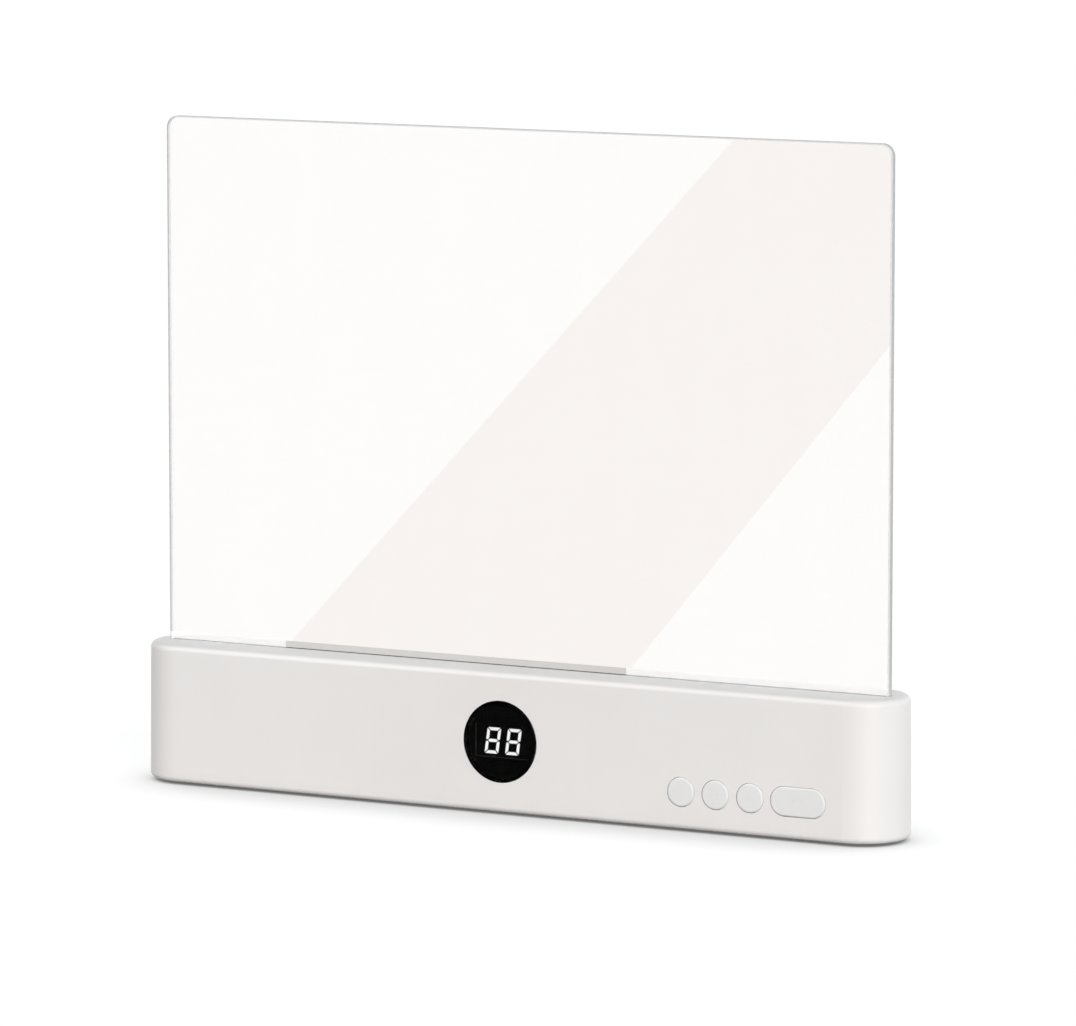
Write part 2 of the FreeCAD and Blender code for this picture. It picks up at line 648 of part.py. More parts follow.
def display():
    window = rod("DisplayWindow", dims.window_diameter, dims.window_thickness,
                 dims.window_x, -dims.window_face, dims.window_z, ALONG_REAR)
    keep(window, "display_window")
    disc = rod("MaskDisc", window_opening - 2 * dims.mask_gap, dims.mask_thickness,
               dims.window_x, -dims.mask_face, dims.window_z, ALONG_REAR)
    half_width = dims.module_width / 2 + dims.mask_clearance
    half_height = dims.module_height / 2 + dims.mask_clearance
    frame = block("MaskOpening",
                  (dims.window_x - half_width, -dims.mask_face - 1, dims.window_z - half_height),
                  (dims.window_x + half_width, -dims.mask_face + 2, dims.window_z + half_height))
    keep(cut("DisplayMask", disc, frame), "display_mask")

    face = -dims.module_face.number
    proud = dims.segment_proud.number
    depth = dims.segment_depth.number
    pockets = []
    for name, side in (("left", -0.5), ("right", 0.5)):
        centre = dims.window_x.number + side * dims.digit_pitch.number
        segments = doc.addObject("Part::Feature", name + "_segments")
        segments.Shape = digit_shape(centre, face - proud, depth)
        keep(segments, name + "_digit_segments")
        recess = doc.addObject("Part::Feature", name + "_recesses")
        recess.Shape = digit_shape(centre, face - 1, depth - proud + 1)
        pockets.append(recess)
    solid = block(
        "ModuleBlock",
        (dims.window_x - dims.module_width / 2, -dims.module_face,
         dims.window_z - dims.module_height / 2),
        (dims.window_x + dims.module_width / 2, -dims.board_front,
         dims.window_z + dims.module_height / 2))
    recesses = doc.addObject("Part::Compound", "SegmentRecesses")
    recesses.Links = pockets
    keep(cut("DisplayModule", solid, recesses), "display_module")

    pins = []
    for i in range(5):
        for j, side in enumerate((-0.5, 0.5)):
            pins.append(rod(
                "DisplayPin%d_%d" % (i, j), dims.pin_diameter, dims.board_thickness + dims.pin_stub,
                dims.window_x + dims.pin_pitch * (i - 2), -dims.board_front,
                dims.window_z + dims.pin_rows * side,
                ALONG_REAR))
    keep(group("DisplayPins", pins), "display_pins")


# ---------------------------------------------------------------- buttons and switches

def cap_mark(kind, x):
    """Strokes to engrave in a cap's face: a minus, a ring, a plus or a standby symbol."""
    stroke = dims.mark_stroke.number
    length = dims.mark_length.number
    centre = Vector(x, -dims.button_face.number - BEYOND, dims.button_z.number)
    depth = BEYOND + dims.mark_depth.number

    def bar(width, height, up=0.0):
        return Part.makeBox(width, depth, height, centre + Vector(-width / 2, 0, up - height / 2))

    def ring(radius):
        axis = Vector(0, 1, 0)
        outer = Part.makeCylinder(radius + stroke / 2, depth, centre, axis)
        return outer.cut(Part.makeCylinder(radius - stroke / 2, depth, centre, axis))

    if kind == "left":
        return bar(length, stroke)
    if kind == "middle":
        return ring(dims.mark_ring.number)
    if kind == "right":
        return bar(length, stroke).fuse(bar(stroke, length))
    radius = dims.power_ring.number
    height = dims.power_bar.number
    opened = ring(radius).cut(bar(dims.power_opening.number, radius, up=radius))
    return opened.fuse(bar(stroke, height, up=radius + stroke - height / 2))


def button_cap(kind, x, length):
    """A cap that passes through the wall, with a flange that keeps it from falling out."""
    name = kind + "_cap"
    body = new_body(name)
    flange = sketch_on(body, name + "Flange", "XZ_Plane", -flange_rear)
    lip = 2 * dims.flange_lip
    front = sketch_on(body, name + "Cap", "XZ_Plane", -flange_front)
    if length.number == dims.button_diameter.number:
        draw_circle(flange, dims.button_diameter + lip, 0, 0)
        draw_circle(front, dims.button_diameter, 0, 0)
    else:
        draw_stadium(flange, length + lip, dims.button_diameter + lip, 0, 0)
        draw_stadium(front, length, dims.button_diameter, 0, 0)
    pad(body, flange, dims.flange_thickness)
    pad(body, front, dims.button_face + flange_front)
    round_edges(body, dims.button_round, level_at("Y", -dims.button_face))
    place(body, x, 0, dims.button_z)
    mark = doc.addObject("Part::Feature", name + "_mark")
    mark.Shape = cap_mark(kind, Size.of(x).number)
    keep(cut(kind + "_marked_cap", body, mark), kind + "_button")


def switch(name, x):
    """A tact switch: a square body with a blind bore, and the plunger that slides in it."""
    half = dims.switch_size / 2
    front = -dims.board_front - dims.switch_height
    case = block(name + "Case", (x - half, front, dims.button_z - half),
                 (x + half, -dims.board_front, dims.button_z + half))
    bore = rod(name + "Bore", dims.plunger_diameter + 2 * dims.plunger_gap, dims.plunger_bore,
               x, front, dims.button_z, ALONG_REAR)
    keep(cut(name + "Switch", case, bore), name + "_switch")
    plunger = rod(name + "Plunger", dims.plunger_diameter, dims.plunger_length,
                  x, flange_rear, dims.button_z, ALONG_REAR)
    keep(plunger, name + "_switch_plunger")


def buttons():
    for name, x in BUTTONS.items():
        button_cap(name, x, dims.button_diameter)
        switch(name, x)
    button_cap("power", dims.power_x, dims.power_length)
    switch("power", dims.power_x)


# ---------------------------------------------------------------- boards

def control_board():
    body = new_body("control_board")
    outline = sketch_on(body, "BoardOutline", "XZ_Plane", -board_rear)
    draw_rectangle(outline, dims.board_left, dims.board_low, dims.board_right, dims.board_high)
    pad(body, outline, dims.board_thickness)
    holes = sketch_on(body, "BoardHoles", "XZ_Plane", dims.board_front)
    for x, z in BOARD_PILLARS:
        draw_circle(holes, dims.board_screw + 2 * dims.screw_gap, x, z)
    for i in range(5):
        for side in (-0.5, 0.5):
            draw_circle(holes, dims.pin_diameter + dims.screw_gap,
                        dims.window_x + dims.pin_pitch * (i - 2),
                        dims.window_z + dims.pin_rows * side)
    pocket(body, holes, dims.board_thickness)
    keep(body, "control_board")

    chip = block("Microcontroller", (-4.0, board_rear, 8.0), (6.0, board_rear + 1.5, 15.5))
    keep(chip, "microcontroller")
    parts = [
        block("ChipPart%d" % i, (x, board_rear, 9.0), (x + 2.0, board_rear + 0.9, 10.2))
        for i, x in enumerate((10.0, 14.0, 18.0, 22.0, 26.0, 30.0))
    ]
    keep(group("ChipParts", parts), "control_board_chip_parts")
    led_socket = block("LedSocket", (84.0, board_rear, 12.0), (90.0, board_rear + 4.0, 17.0))
    keep(led_socket, "led_lead_connector")
    link_socket = block("LinkSocket", (92.0, board_rear, 8.5), (99.5, board_rear + 4.0, 14.5))
    keep(link_socket, "control_link_connector")


def power_board():
    low, high = dims.power_board_z, power_board_high
    plate = block("PowerPlate", (dims.power_board_left, dims.power_board_front, low),
                  (dims.power_board_right, dims.power_board_rear, high))
    holes = [
        rod("PowerHole%d" % i, dims.board_screw + 2 * dims.screw_gap, dims.board_thickness + 2,
            x, dims.power_post_y, low - 1)
        for i, x in enumerate(POWER_POSTS)
    ]
    keep(cut("PowerBoard", plate, fuse("PowerHoles", holes)), "power_board")
    keep(block("ChargeChip", (57.0, -2.2, high), (62.0, 1.8, high + 1.6)), "charge_chip")
    keep(block("BoostCoil", (64.5, -2.0, high), (69.5, 3.0, high + 2.4)), "boost_inductor")
    capacitors = [
        block("PowerCapacitor%d" % i, (x, 3.0, high), (x + 2.0, 4.2, high + 1.0))
        for i, x in enumerate((55.5, 58.5, 61.5))
    ]
    keep(group("PowerCapacitors", capacitors), "power_board_capacitors")
    socket = block("BatterySocket", (47.5, 3.6, high), (53.5, 9.6, high + 4.5))
    keep(socket, "battery_connector")
    link = block("PowerLinkSocket", (70.5, 3.6, high), (76.5, 9.6, high + 4.5))
    keep(link, "power_link_connector")


def usb_port():
    """USB-C receptacle: a drawn shell with a closed back and the tongue inside it."""
    shell = new_body("usb_shell")
    outer = sketch_on(shell, "UsbOuter", "XZ_Plane", -dims.usb_mouth)
    draw_stadium(outer, dims.usb_width, dims.usb_height, dims.usb_x, usb_z)
    pad(shell, outer, dims.usb_length)
    inner = sketch_on(shell, "UsbInner", "XZ_Plane", -dims.usb_mouth)
    draw_stadium(inner, dims.usb_width - 2 * dims.usb_wall, dims.usb_height - 2 * dims.usb_wall,
                 dims.usb_x, usb_z)
    pocket(shell, inner, dims.usb_length - dims.usb_back, along_normal=True)
    keep(shell, "usb_shell")
    root = dims.usb_mouth - dims.usb_length + dims.usb_back
    tongue = block(
        "UsbTongue", (dims.usb_x - dims.tongue_width / 2, root, usb_z - dims.tongue_height / 2),
        (dims.usb_x + dims.tongue_width / 2, root + dims.tongue_length,
         usb_z + dims.tongue_height / 2))
    keep(tongue, "usb_tongue")


def battery():
    cell = new_body("battery_cell")
    outline = sketch_on(cell, "CellOutline", "XZ_Plane", -cell_rear)
    draw_rectangle(outline, dims.cell_left, dims.cell_low, cell_right, dims.cell_low + dims.cell_height)
    pad(cell, outline, dims.cell_thickness)
    low = dims.cell_low.number
    high = low + dims.cell_height.number
    round_edges(cell, dims.cell_round,
                lambda edge: level_at("Z", low)(edge) and edge.BoundBox.XLength > 1
                or level_at("Z", high)(edge) and edge.BoundBox.XLength > 1)
    keep(cell, "battery_cell")
    keep(block("CellPad", (dims.cell_left + 5, cell_rear, dims.cell_low + 3),
               (cell_right - 5, inside_rear, dims.cell_low + dims.cell_height - 3)), "battery_pad")
    keep(block("CellBoard", (cell_right, cell_front + 0.7, dims.cell_low + 2),
               (cell_right + 1.0, cell_rear - 0.7, dims.cell_low + dims.cell_height - 2)),
         "battery_protection_board")


# ---------------------------------------------------------------- leads

def lead(label, points):
    """A round insulated wire along straight runs that are joined by wide tangent arcs."""
    diameter = dims.lead_diameter.number
    points = [Vector(*point) for point in points]
    edges = []
    start = points[0]
    length = 0.0
    for before, corner, after in zip(points, points[1:], points[2:]):
        back = before - corner
        ahead = after - corner
        turn = math.pi - back.getAngle(ahead)
        reach = 0.45 * min(back.Length, ahead.Length)
        radius = reach / math.tan(turn / 2)
        print("%s: arc radius %.1f" % (label, radius))
        back.normalize()
        ahead.normalize()
        entry = corner + back * reach
        leave = corner + ahead * reach
        inward = back + ahead
        inward.normalize()
        middle = corner + inward * (math.hypot(reach, radius) - radius)
        edges.append(Part.LineSegment(start, entry).toShape())
        edges.append(Part.Arc(entry, middle, leave).toShape())
        length += (entry - start).Length + radius * turn
        start = leave
    edges.append(Part.LineSegment(start, points[-1]).toShape())
    length += (points[-1] - start).Length
    path = Part.Wire(edges)
    ring = Part.Circle(points[0], points[1] - points[0], diameter / 2).toShape()
    solid = path.makePipeShell([Part.Wire([ring])], True, False)
    expected = math.pi * diameter ** 2 / 4 * length
    if abs(solid.Volume - expected) > 0.02 * expected:
        raise RuntimeError("%s: the sweep's volume is off" % label)
    wire = doc.addObject("Part::Feature", label)
    wire.Shape = solid
    keep(wire, label)


def leads():
    cell_end = cell_right.number + 1.0
    cell_y = (cell_front.number + cell_rear.number) / 2
    socket_z = power_board_high.number + 2.25
    for colour, shift in (("red", -0.9), ("black", 0.9)):
        lead("battery_lead_" + colour, [
            (cell_end, cell_y, 19.0 - 1.5 * shift),
            (-17.0, cell_y - 0.4, 18.6 - 1.5 * shift),
            (0.0, 5.0 + shift, 16.6),
            (18.0, 2.2 + shift, 13.4),
            (34.0, 3.8 + shift, socket_z - 0.4),
            (47.5, 6.6 + shift, socket_z),
        ])
    board_low = led_board_low.number
    plug_y = board_rear.number + 2.0
    for colour, shift in (("red", -1.0), ("black", 1.0)):
        lead("led_lead_" + colour, [
            (87.0 + shift, plug_y, 17.0),
            (87.3 + shift, plug_y + 0.2, 19.8),
            (89.6 + shift, plug_y + 1.0, 22.0),
            (90.4 + shift, plug_y + 1.6, board_low),
        ])
    for colour, shift in (("red", -1.6), ("black", 0.0), ("blue", 1.6)):
        lead("link_lead_" + colour, [
            (76.5, 6.6 + shift, socket_z),
            (84.0, 6.5 + shift, socket_z - 0.2),
            (91.0 + 0.6 * shift, 4.4 + 0.8 * shift, socket_z - 0.7),
            (95.75 + shift, board_rear.number + 4.0, 11.5),
        ])


# ---------------------------------------------------------------- build, check and export

def check():
    """Stop unless every object recomputed well and every pocket removed material."""
    for item in doc.Objects:
        if "Invalid" in item.State or "Error" in item.State:
            raise RuntimeError("%s failed: %s" % (item.Name, item.State))
        if item.TypeId == "PartDesign::Pocket":
            before = item.BaseFeature.Shape.Volume
            if item.Shape.Volume > before - 0.01:
                raise RuntimeError("%s cuts nothing" % item.Name)
    for item in subparts:
        if item.Shape.isNull() or not item.Shape.isValid() or not item.Shape.Solids:
            raise RuntimeError("%s has no valid solid" % item.Label)


def main():
    housing()
    bottom_cover()
    feet()
    screws()
    acrylic_panel()
    slot_liner()
    panel_holder()
    led_strip()
    display()
    buttons()
    control_board()
    power_board()
    usb_port()
    battery()
    doc.recompute()
    leads()
    doc.recompute()
    check()
    os.makedirs("parts", exist_ok=True)
    for item in subparts:
        item.Shape.exportStep("parts/%s.step" % item.Label)
        print("%-28s %2d solid(s) %10.1f mm3" % (item.Label, len(item.Shape.Solids), item.Shape.Volume))
    print("%d sub-parts" % len(subparts))


main()
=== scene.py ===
"""Looks of the edge-lit note board: clear sheet, white base, round display and four buttons."""
import math

import bmesh
import bpy
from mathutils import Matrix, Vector

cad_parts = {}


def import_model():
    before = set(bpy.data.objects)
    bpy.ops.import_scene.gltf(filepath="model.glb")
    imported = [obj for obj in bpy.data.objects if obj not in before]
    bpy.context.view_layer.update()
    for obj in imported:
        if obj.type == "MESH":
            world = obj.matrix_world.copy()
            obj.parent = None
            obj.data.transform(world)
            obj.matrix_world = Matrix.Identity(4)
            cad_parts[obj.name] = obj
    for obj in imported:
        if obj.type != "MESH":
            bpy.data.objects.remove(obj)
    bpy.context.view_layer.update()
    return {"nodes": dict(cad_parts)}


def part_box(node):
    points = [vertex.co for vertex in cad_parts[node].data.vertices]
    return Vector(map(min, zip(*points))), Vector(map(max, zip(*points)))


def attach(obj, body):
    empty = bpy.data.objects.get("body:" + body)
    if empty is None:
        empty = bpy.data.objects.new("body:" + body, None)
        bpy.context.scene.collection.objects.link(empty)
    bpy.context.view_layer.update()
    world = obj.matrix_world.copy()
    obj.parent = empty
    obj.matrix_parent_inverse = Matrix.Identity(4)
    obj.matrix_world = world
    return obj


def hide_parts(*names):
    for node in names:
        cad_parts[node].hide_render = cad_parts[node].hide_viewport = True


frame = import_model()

MM = 0.001
nodes = frame["nodes"]

BUTTONS = ("left", "middle", "right", "power")

# the clear sheet's edges, as in the CAD
SHEET_BEVEL = 0.4 * MM
SHEET_CORNER = 3.6 * MM
SHEET_FOOT_CORNER = 1.2 * MM
CORNER_STEPS = 10

# places among the sheet's materials, after its clear faces
BEVELLED_EDGE, CUT_EDGE = 1, 2

# the camera looks from the front right, a little above, with a long lens
VIEW_AZIMUTH, VIEW_ELEVATION, VIEW_DISTANCE = 28.22, 7.44, 2.004
VIEW_TARGET = Vector((0.0056, 0.0, 0.0878))
LENS = 229.6

# the surround's strength level with the eye and overhead
HORIZON = 1.49
ZENITH = 0.15

KEY_POWER = 1.72
FILL_POWER = 0.6
SUN_ANGLE = math.radians(30)
LIGHT_DISTANCE = 2.0
STRIP_POWER = 20.0
STRIP_SIZE = 1.3
STRIP_DISTANCE = 1.5

FLOOR_REACH = 12.0
FLOOR_GLOW = 0.80
FLOOR_BOUNCE = 0.24
# how far the contact shadow painted into the floor reaches
PAINTED_SHADOW_REACH = 40 * MM

# the pane that the sheet's gloss shows, and the two edges of the dark bar across it,
# each as the (x, z) of two points on the sheet's face
PANE_POWER = 2.0
PANE_Y = -0.19
PANE_MARGIN = 5 * MM
PANE_TOP = 0.21
BAR_LEFT = ((-0.1193, 0.0), (0.0797, 0.21))
BAR_RIGHT = ((0.0, 0.0), (0.125, 0.1495))

# the glare low on the sheet, on both sides of the bar
GLARE_POWER = 8.0
GLARE_HEIGHT = 2.15 * MM
GLARE_GAP = 0.3 * MM


# ---------------------------------------------------------------- node trees

class Graph:
    """Short names for building a node tree."""

    def __init__(self, tree):
        self.tree = tree
        tree.nodes.clear()

    def node(self, kind, **settings):
        made = self.tree.nodes.new(kind)
        for name, value in settings.items():
            setattr(made, name, value)
        return made

    def link(self, output, socket):
        self.tree.links.new(output, socket)

    def surface(self, shader, output="ShaderNodeOutputMaterial"):
        self.link(shader.outputs[0], self.node(output).inputs["Surface"])

    def math(self, operation, first, second):
        made = self.node("ShaderNodeMath", operation=operation)
        for socket, value in zip(made.inputs, (first, second)):
            if isinstance(value, (int, float)):
                socket.default_value = value
            else:
                self.link(value, socket)
        return made.outputs[0]

    def noise(self, scale, detail=2.0, roughness=0.5, stretch=(1, 1, 1)):
        """Noise fixed to the object; scale is in features per metre."""
        place = self.node("ShaderNodeMapping")
        place.inputs["Scale"].default_value = stretch
        self.link(self.node("ShaderNodeTexCoord").outputs["Object"], place.inputs["Vector"])
        made = self.node("ShaderNodeTexNoise")
        made.inputs["Scale"].default_value = scale
        made.inputs["Detail"].default_value = detail
        made.inputs["Roughness"].default_value = roughness
        self.link(place.outputs[0], made.inputs["Vector"])
        return made.outputs["Fac"]

    def spread(self, value, low, high, start=0.3, end=0.7):
        """Stretch a value that runs from start to end to the range from low to high."""
        made = self.node("ShaderNodeMapRange")
        self.link(value, made.inputs["Value"])
        for name, number in zip(("From Min", "From Max", "To Min", "To Max"), (start, end, low, high)):
            made.inputs[name].default_value = number
        return made.outputs["Result"]

    def blend(self, factor, first, second):
        """Mix two colours by a 0 to 1 value."""
        made = self.node("ShaderNodeMix", data_type="RGBA")
        self.link(factor, made.inputs[0])
        made.inputs[6].default_value = (*first, 1)
        made.inputs[7].default_value = (*second, 1)
        return made.outputs[2]

    def ramp(self, value, *stops):
        """Reshape a 0 to 1 value through straight runs between (position, level) stops."""
        made = self.node("ShaderNodeValToRGB")
        self.link(value, made.inputs[0])
        scale = made.color_ramp.elements
        scale.remove(scale[1])
        for i, (position, level) in enumerate(stops):
            stop = scale[0] if i == 0 else scale.new(position)
            stop.position = position
            stop.color = (level, level, level, 1)
        return made.outputs[0]

    def bump(self, height, strength, distance):
        made = self.node("ShaderNodeBump")
        made.inputs["Strength"].default_value = strength
        made.inputs["Distance"].default_value = distance
        self.link(height, made.inputs["Height"])
        return made.outputs["Normal"]

    def either(self, factor, first, second):
        """One shader where a 0 or 1 value is 0, and another where it is 1."""
        made = self.node("ShaderNodeMixShader")
        for output, socket in zip((factor, first.outputs[0], second.outputs[0]), made.inputs):
            self.link(output, socket)
        return made


def new_material(name):
    material = bpy.data.materials.new(name)
    material.use_nodes = True
    return material, Graph(material.node_tree)


def principled(name):
    material, graph = new_material(name)
    shader = graph.node("ShaderNodeBsdfPrincipled")
    graph.surface(shader)
    return material, graph, shader


# ---------------------------------------------------------------- camera and light

def put_round(target, thing, name, azimuth, elevation, distance):
    """Put a camera or light round the target, aimed at it; azimuth goes from the front to the right."""
    azimuth, elevation = math.radians(azimuth), math.radians(elevation)
    back = Vector((
        math.sin(azimuth) * math.cos(elevation),
        -math.cos(azimuth) * math.cos(elevation),
        math.sin(elevation),
    ))
    placed = bpy.data.objects.new(name, thing)
    placed.location = target + back * distance
    placed.rotation_mode = "QUATERNION"
    placed.rotation_quaternion = (-back).to_track_quat("-Z", "Y")
    bpy.context.scene.collection.objects.link(placed)
    return placed


def camera():
    data = bpy.data.cameras.new("camera")
    data.lens = LENS
    data.sensor_width = 36.0
    data.clip_start = 0.01
    data.clip_end = 100.0
    view = put_round(VIEW_TARGET, data, "camera", VIEW_AZIMUTH, VIEW_ELEVATION, VIEW_DISTANCE)
    bpy.context.scene.camera = view
    return view


def world():
    """A pale surround, brightest level with the eye, warmer in front and cooler behind."""
    tent = bpy.data.worlds.new("tent")
    tent.use_nodes = True
    bpy.context.scene.world = tent
    graph = Graph(tent.node_tree)
    direction = graph.node("ShaderNodeSeparateXYZ")
    graph.link(graph.node("ShaderNodeTexCoord").outputs["Generated"], direction.inputs[0])
    height = graph.math("ABSOLUTE", direction.outputs["Z"], 0.0)
    light = graph.math("ADD", graph.math("MULTIPLY", height, ZENITH - HORIZON), HORIZON)
    ahead = graph.spread(graph.math("MULTIPLY", direction.outputs["Y"], -1.0), 0, 1, 0.3, 1.0)
    background = graph.node("ShaderNodeBackground")
    graph.link(graph.blend(ahead, (0.96, 1.0, 1.02), (1.075, 0.99, 0.97)), background.inputs["Color"])
    graph.link(light, background.inputs["Strength"])
    graph.surface(background, "ShaderNodeOutputWorld")


def sun(name, power, azimuth, elevation):
    data = bpy.data.lights.new(name, "SUN")
    data.energy = power
    data.angle = SUN_ANGLE
    return put_round(Vector(), data, name, azimuth, elevation, LIGHT_DISTANCE)


def lights():
    """A broad soft key from the front right, a fill for the back, and a strip for the edges' sheen."""
    sun("key", KEY_POWER, azimuth=45, elevation=15)
    fill = sun("rear_fill", FILL_POWER, azimuth=180, elevation=6)
    fill.visible_glossy = False
    fill.visible_transmission = False
    strip = bpy.data.lights.new("edge_strip", "AREA")
    strip.size = STRIP_SIZE
    strip.energy = STRIP_POWER
    sheen = put_round(Vector(), strip, "edge_strip", azimuth=-40, elevation=45, distance=STRIP_DISTANCE)
    sheen.visible_diffuse = False
    sheen.visible_transmission = False


# ---------------------------------------------------------------- stage

def stage_face(name, points, material):
    """One flat face that belongs to the stage, not to the object."""
    mesh = bpy.data.meshes.new(name)
    mesh.from_pydata(points, [], [tuple(range(len(points)))])
    mesh.materials.append(material)
    face = bpy.data.objects.new(name, mesh)
    bpy.context.scene.collection.objects.link(face)
    return face


def floor():
    """A wide white table, a little self-lit, with a contact shadow painted into its colour and glow,
    that throws less light back up than it shows.
    """
    material, graph = new_material("floor")
    near = graph.node("ShaderNodeAmbientOcclusion", samples=16)
    near.inputs["Distance"].default_value = PAINTED_SHADOW_REACH
    # painted shadow: ambient occlusion darkens the floor's colour and glow near the object
    painted_contact_shadow = graph.ramp(near.outputs["AO"], (0.0, 0.14), (0.1, 0.24), (0.2, 0.42), (0.35, 0.6),
                         (0.5, 0.7), (0.65, 0.83), (0.8, 0.96), (0.9, 1.0))
    seen = graph.node("ShaderNodeBsdfPrincipled")
    grain = graph.spread(graph.noise(40.0), 0.30, 0.31)
    graph.link(graph.math("MULTIPLY", painted_contact_shadow, grain), seen.inputs["Base Color"])
    graph.link(graph.math("MULTIPLY", painted_contact_shadow, FLOOR_GLOW), seen.inputs["Emission Strength"])
    seen.inputs["Emission Color"].default_value = (1, 1, 1, 1)
    seen.inputs["Roughness"].default_value = 0.9
    seen.inputs["Specular IOR Level"].default_value = 0.0
    bounce = graph.node("ShaderNodeBsdfDiffuse")
    bounce.inputs["Color"].default_value = (FLOOR_BOUNCE, FLOOR_BOUNCE, FLOOR_BOUNCE, 1)
    scattered = graph.node("ShaderNodeLightPath").outputs["Is Diffuse Ray"]
    graph.surface(graph.either(scattered, seen, bounce))
    reach = FLOOR_REACH
    corners = [(-reach, -reach, 0), (reach, -reach, 0), (reach, reach, 0), (-reach, reach, 0)]
    stage_face("floor", corners, material)


def gloss_card(name, points, material):
    """A flat card that only glossy surfaces pick up."""
    card = stage_face(name, points, material)
    card.visible_camera = False
    card.visible_diffuse = False
    card.visible_transmission = False
    card.visible_shadow = False


def one_sided_glare():
    """Light towards the sheet, and nothing towards the base in front of it."""
    material, graph = new_material("foot_glare")
    lit = graph.node("ShaderNodeEmission")
    lit.inputs["Color"].default_value = (0.96, 0.98, 1.0, 1)
    lit.inputs["Strength"].default_value = GLARE_POWER
    clear = graph.node("ShaderNodeBsdfTransparent")
    behind = graph.node("ShaderNodeNewGeometry").outputs["Backfacing"]
    graph.surface(graph.either(behind, clear, lit))
    return material


def reflected_window(view):
    """What the sheet's gloss picks up from the front left: a bright pane with a dark bar across it."""
    low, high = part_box("acrylic_panel")
    face = low.y
    left, right = low.x - PANE_MARGIN, high.x + PANE_MARGIN
    mirrored = Vector((view.location.x, 2 * face - view.location.y, view.location.z))
    distance = (PANE_Y - mirrored.y) / (face - mirrored.y)

    def on_card(points):
        return [mirrored + (Vector((x, face, z)) - mirrored) * distance for x, z in points]

    pane, _, shader = principled("bright_pane")
    shader.inputs["Base Color"].default_value = (0, 0, 0, 1)
    shader.inputs["Emission Color"].default_value = (0.74, 0.96, 1.0, 1)
    shader.inputs["Emission Strength"].default_value = PANE_POWER
    bar, _, shader = principled("dark_bar")
    shader.inputs["Base Color"].default_value = (0.16, 0.0, 0.0, 1)
    (left_foot, left_head), (right_foot, right_head) = BAR_LEFT, BAR_RIGHT
    for name, material, outline in (
            ("pane_left", pane, [(left, 0.0), left_foot, left_head, (left, PANE_TOP)]),
            ("pane_bar", bar, [left_foot, right_foot, right_head, (right, PANE_TOP), left_head]),
            ("pane_right", pane, [right_foot, (right, 0.0), right_head])):
        gloss_card(name, on_card(outline), material)


def foot_glare():
    """Glare that washes out the base's top where the sheet stands beside the dark bar."""
    low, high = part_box("acrylic_panel")
    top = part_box("housing")[1].z

    def on_line(line, z):
        (x, start), (far_x, end) = line
        return x + (far_x - x) * (z - start) / (end - start)

    glare = one_sided_glare()
    y = low.y - GLARE_GAP
    foot, head = top - GLARE_GAP, top + GLARE_HEIGHT
    for name, start, end in (("glare_left", low.x, on_line(BAR_LEFT, top)),
                             ("glare_right", on_line(BAR_RIGHT, top), high.x)):
        gloss_card(name, [(start, y, foot), (end, y, foot), (end, y, head), (start, y, head)], glare)


# ---------------------------------------------------------------- materials

def moulded(name, colour, roughness=0.42, grain=0.35, tint=0.97, texture=2200.0, depth=0.00002):
    """Moulded plastic: a fine spark-eroded grain, and gloss and colour that wander slightly."""
    material, graph, shader = principled(name)
    patches = graph.noise(35.0, detail=3.0)
    darker = tuple(channel * tint for channel in colour)
    graph.link(graph.blend(graph.spread(patches, 0, 1), darker, colour), shader.inputs["Base Color"])
    fine = graph.noise(texture, detail=2.0, roughness=0.6)
    graph.link(graph.spread(fine, roughness - 0.04, roughness + 0.05), shader.inputs["Roughness"])
    graph.link(graph.bump(fine, grain, depth), shader.inputs["Normal"])
    return material


def metal(name, colour, roughness=0.3, stretch=(1, 1, 1), scale=900.0):
    """Plated or drawn metal with fine directional marks."""
    material, graph, shader = principled(name)
    marks = graph.noise(scale, detail=4.0, roughness=0.65, stretch=stretch)
    darker = tuple(channel * 0.82 for channel in colour)
    graph.link(graph.blend(graph.spread(marks, 0, 1), darker, colour), shader.inputs["Base Color"])
    graph.link(graph.spread(marks, roughness - 0.08, roughness + 0.1), shader.inputs["Roughness"])
    graph.link(graph.bump(marks, 0.2, 0.00001), shader.inputs["Normal"])
    shader.inputs["Metallic"].default_value = 1.0
    return material


def clear_acrylic():
    """Polished faces of the sheet."""
    material, graph, shader = principled("clear_acrylic")
    wipes = graph.noise(60.0, detail=4.0, stretch=(1, 1, 0.4))
    graph.link(graph.blend(graph.spread(wipes, 0, 1), (0.941, 0.904, 0.880), (0.947, 0.912, 0.889)),
               shader.inputs["Base Color"])
    graph.link(graph.spread(wipes, 0.0, 0.012), shader.inputs["Roughness"])
    shader.inputs["Transmission Weight"].default_value = 1.0
    shader.inputs["IOR"].default_value = 1.49
    return material


def cut_acrylic(name, darker, lighter):
    """Sawn and lightly polished edges of the sheet, which scatter light."""
    material, graph, shader = principled(name)
    lines = graph.noise(500.0, detail=3.0, stretch=(1, 8, 1))
    graph.link(graph.blend(graph.spread(lines, 0, 1), darker, lighter), shader.inputs["Base Color"])
    graph.link(graph.spread(lines, 0.25, 0.45), shader.inputs["Roughness"])
    graph.link(graph.bump(lines, 0.08, 0.00002), shader.inputs["Normal"])
    shader.inputs["Transmission Weight"].default_value = 0.1
    shader.inputs["IOR"].default_value = 1.03
    return material


def smoked_acrylic():
    """Dark see-through disc in front of the digits."""
    material, graph, shader = principled("smoked_acrylic")
    haze = graph.noise(300.0, detail=3.0)
    graph.link(graph.blend(graph.spread(haze, 0, 1), (0.087, 0.088, 0.09), (0.101, 0.102, 0.104)),
               shader.inputs["Base Color"])
    graph.link(graph.spread(haze, 0.01, 0.04), shader.inputs["Roughness"])
    shader.inputs["Transmission Weight"].default_value = 1.0
    shader.inputs["IOR"].default_value = 1.1
    return material


